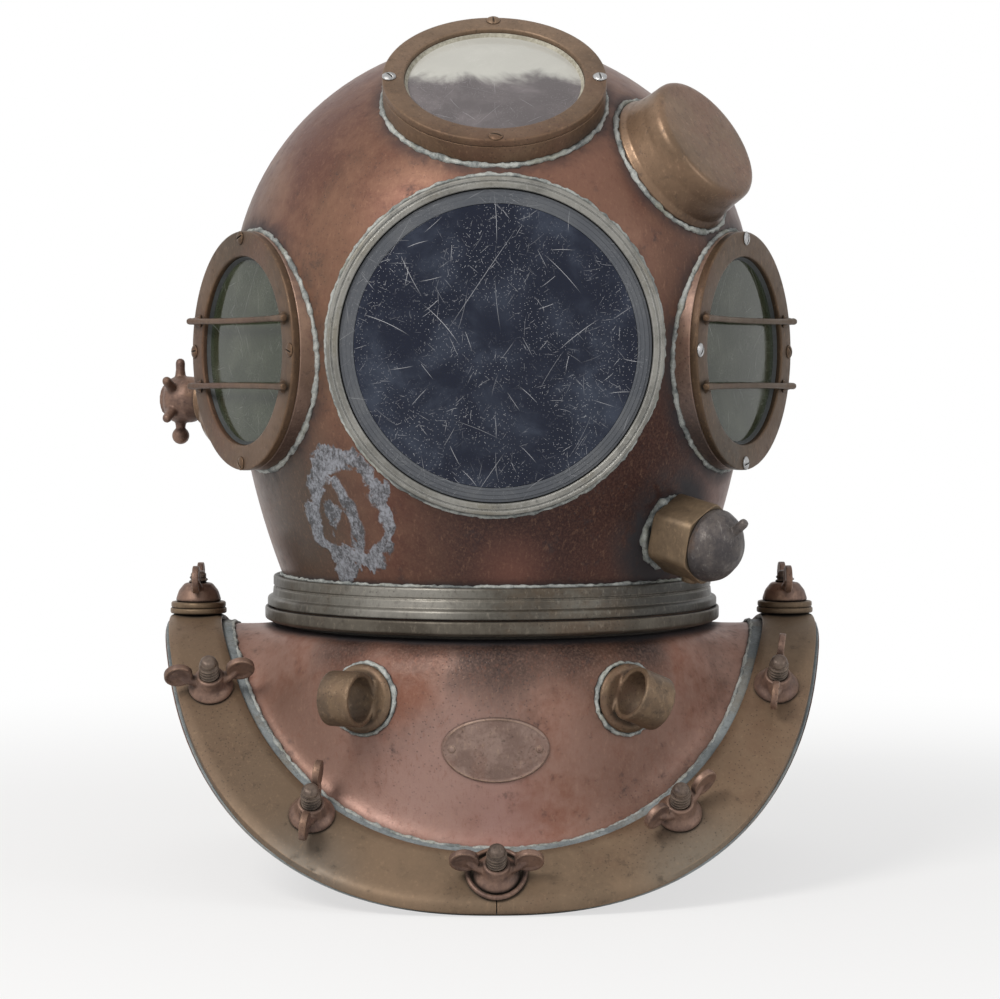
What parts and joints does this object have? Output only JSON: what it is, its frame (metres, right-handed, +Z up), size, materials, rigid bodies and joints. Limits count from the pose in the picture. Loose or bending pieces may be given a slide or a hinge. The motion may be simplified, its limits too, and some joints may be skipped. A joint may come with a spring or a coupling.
{
  "type": "diving helmet",
  "caption": "Copper diving helmet: a domed bonnet with round windows on a breastplate whose studs and wing nuts clamp a suit's collar",
  "frame": {"origin": "middle of the neck joint, on the axis of the neck opening", "axes": "+Z up along the neck axis; -Y is the way the face window looks; +X is on the right of someone who faces it"},
  "size_m": [0.4017, 0.3805, 0.5028],
  "materials": {
    "spun_copper": "aged copper, brown and red patina",
    "aged_brass": "aged bronze and brass, worn at the edges",
    "dark_bronze": "dark brown oxide",
    "tinned_metal": "dull grey tinning",
    "window_glass": "thick scratched window glass",
    "face_glass": "thick dark window glass, scratched",
    "leather": "greased leather",
    "gasket_rubber": "pale aged rubber",
    "black_moulding": "black moulded receiver",
    "steel_wire": "drawn spring wire"
  },
  "bodies": {
    "breastplate": {"breastplate_shell": "spun_copper", "breastplate_ring": "aged_brass", "neck_washer": "leather", "stud_band": "tinned_metal", "studs": "dark_bronze", "brail_front_right": "aged_brass", "brail_back_right": "aged_brass", "brail_back_left": "aged_brass", "brail_front_left": "aged_brass", "shoulder_plates": "aged_brass", "front_ring": "dark_bronze", "name_plate": "aged_brass", "eyelets": "aged_brass"},
    "bonnet": {"bonnet_shell": "spun_copper", "bonnet_ring": "aged_brass", "front_port_body": "tinned_metal", "front_port_ring": "tinned_metal", "front_glass": "face_glass", "top_port_body": "aged_brass", "top_glass": "window_glass", "top_bezel": "aged_brass", "left_port_body": "aged_brass", "left_glass": "window_glass", "left_bezel": "aged_brass", "right_port_body": "aged_brass", "right_glass": "window_glass", "right_bezel": "aged_brass", "glass_gaskets": "gasket_rubber", "bezel_screws": "aged_brass", "guard_bars": "aged_brass", "phone_cup": "aged_brass", "phone_receiver": "black_moulding", "exhaust_body": "aged_brass", "exhaust_spring": "steel_wire", "cock_body": "aged_brass", "air_elbow": "aged_brass", "hose_union": "aged_brass", "flap_pin": "aged_brass", "phone_elbow": "aged_brass", "phone_gland": "aged_brass", "catch_bracket": "aged_brass", "catch_pin": "aged_brass", "air_ducts": "spun_copper"},
    "exhaust_control": {"exhaust_knob": "dark_bronze"},
    "relief_valve": {"exhaust_valve": "aged_brass"},
    "spit_cock": {"cock_cap": "dark_bronze"},
    "inlet_flap": {"check_flap": "leather"},
    "safety_catch": {"catch_lever": "aged_brass"},
    "nut_0": {"wing_nut_0": "dark_bronze"},
    "nut_1": {"wing_nut_1": "dark_bronze"},
    "nut_2": {"wing_nut_2": "dark_bronze"},
    "nut_3": {"wing_nut_3": "dark_bronze"},
    "nut_4": {"wing_nut_4": "dark_bronze"},
    "nut_5": {"wing_nut_5": "dark_bronze"},
    "nut_6": {"wing_nut_6": "dark_bronze"},
    "nut_7": {"wing_nut_7": "dark_bronze"},
    "nut_8": {"wing_nut_8": "dark_bronze"},
    "nut_9": {"wing_nut_9": "dark_bronze"},
    "nut_10": {"wing_nut_10": "dark_bronze"},
    "nut_11": {"wing_nut_11": "dark_bronze"}
  },
  "joints": [
    {"name": "bonnet_turn", "type": "hinge", "parent": "breastplate", "child": "bonnet", "pos_m": [0, 0, 0], "axis": [0, 0, 1], "range_deg": [0, 45]},
    {"name": "exhaust_knob_turn", "type": "hinge", "parent": "bonnet", "child": "exhaust_control", "pos_m": [-0.1848, 0.06726, 0.122], "axis": [-0.9397, 0.342, 0], "range_deg": [0, 540]},
    {"name": "exhaust_valve_slide", "type": "slide", "parent": "bonnet", "child": "relief_valve", "axis": [-0.9397, 0.342, 0], "range_m": [0, 0.005], "stiffness_N_per_m": 150, "springref_m": -0.004, "deforming": ["exhaust_spring"]},
    {"name": "spit_cock_turn", "type": "hinge", "parent": "bonnet", "child": "spit_cock", "pos_m": [0.11352, -0.10586, 0.04384], "axis": [0.7154, -0.6671, -0.2079], "range_deg": [0, 90]},
    {"name": "check_flap_swing", "type": "hinge", "parent": "bonnet", "child": "inlet_flap", "pos_m": [0.06637, 0.1732, 0.06196], "axis": [0.3023, 0.9303, 0.2079], "range_deg": [0, 60]},
    {"name": "safety_catch_swing", "type": "hinge", "parent": "bonnet", "child": "safety_catch", "pos_m": [0.08973, 0.10694, 0.012], "axis": [-0.766, 0.6428, 0], "range_deg": [0, 145]},
    {"name": "wing_nut_0_turn", "type": "hinge", "parent": "breastplate", "child": "nut_0", "pos_m": [0, -0.165, -0.1369], "axis": [0, -0.7193, 0.6947], "continuous": true},
    {"name": "wing_nut_1_turn", "type": "hinge", "parent": "breastplate", "child": "nut_1", "pos_m": [0.10226, -0.13669, -0.10759], "axis": [0, -0.7193, 0.6947], "continuous": true},
    {"name": "wing_nut_2_turn", "type": "hinge", "parent": "breastplate", "child": "nut_2", "pos_m": [0.16318, -0.07402, -0.04269], "axis": [0, -0.7193, 0.6947], "continuous": true},
    {"name": "wing_nut_3_turn", "type": "hinge", "parent": "breastplate", "child": "nut_3", "pos_m": [0.1762, 0, -0.0056], "axis": [0, 0, 1], "continuous": true},
    {"name": "wing_nut_4_turn", "type": "hinge", "parent": "breastplate", "child": "nut_4", "pos_m": [0.16318, 0.07402, -0.04269], "axis": [0, 0.7193, 0.6947], "continuous": true},
    {"name": "wing_nut_5_turn", "type": "hinge", "parent": "breastplate", "child": "nut_5", "pos_m": [0.10226, 0.13669, -0.10759], "axis": [0, 0.7193, 0.6947], "continuous": true},
    {"name": "wing_nut_6_turn", "type": "hinge", "parent": "breastplate", "child": "nut_6", "pos_m": [0, 0.165, -0.1369], "axis": [0, 0.7193, 0.6947], "continuous": true},
    {"name": "wing_nut_7_turn", "type": "hinge", "parent": "breastplate", "child": "nut_7", "pos_m": [-0.10226, 0.13669, -0.10759], "axis": [0, 0.7193, 0.6947], "continuous": true},
    {"name": "wing_nut_8_turn", "type": "hinge", "parent": "breastplate", "child": "nut_8", "pos_m": [-0.16318, 0.07402, -0.04269], "axis": [0, 0.7193, 0.6947], "continuous": true},
    {"name": "wing_nut_9_turn", "type": "hinge", "parent": "breastplate", "child": "nut_9", "pos_m": [-0.1762, 0, -0.0056], "axis": [0, 0, 1], "continuous": true},
    {"name": "wing_nut_10_turn", "type": "hinge", "parent": "breastplate", "child": "nut_10", "pos_m": [-0.16318, -0.07402, -0.04269], "axis": [0, -0.7193, 0.6947], "continuous": true},
    {"name": "wing_nut_11_turn", "type": "hinge", "parent": "breastplate", "child": "nut_11", "pos_m": [-0.10226, -0.13669, -0.10759], "axis": [0, -0.7193, 0.6947], "continuous": true}
  ]
}
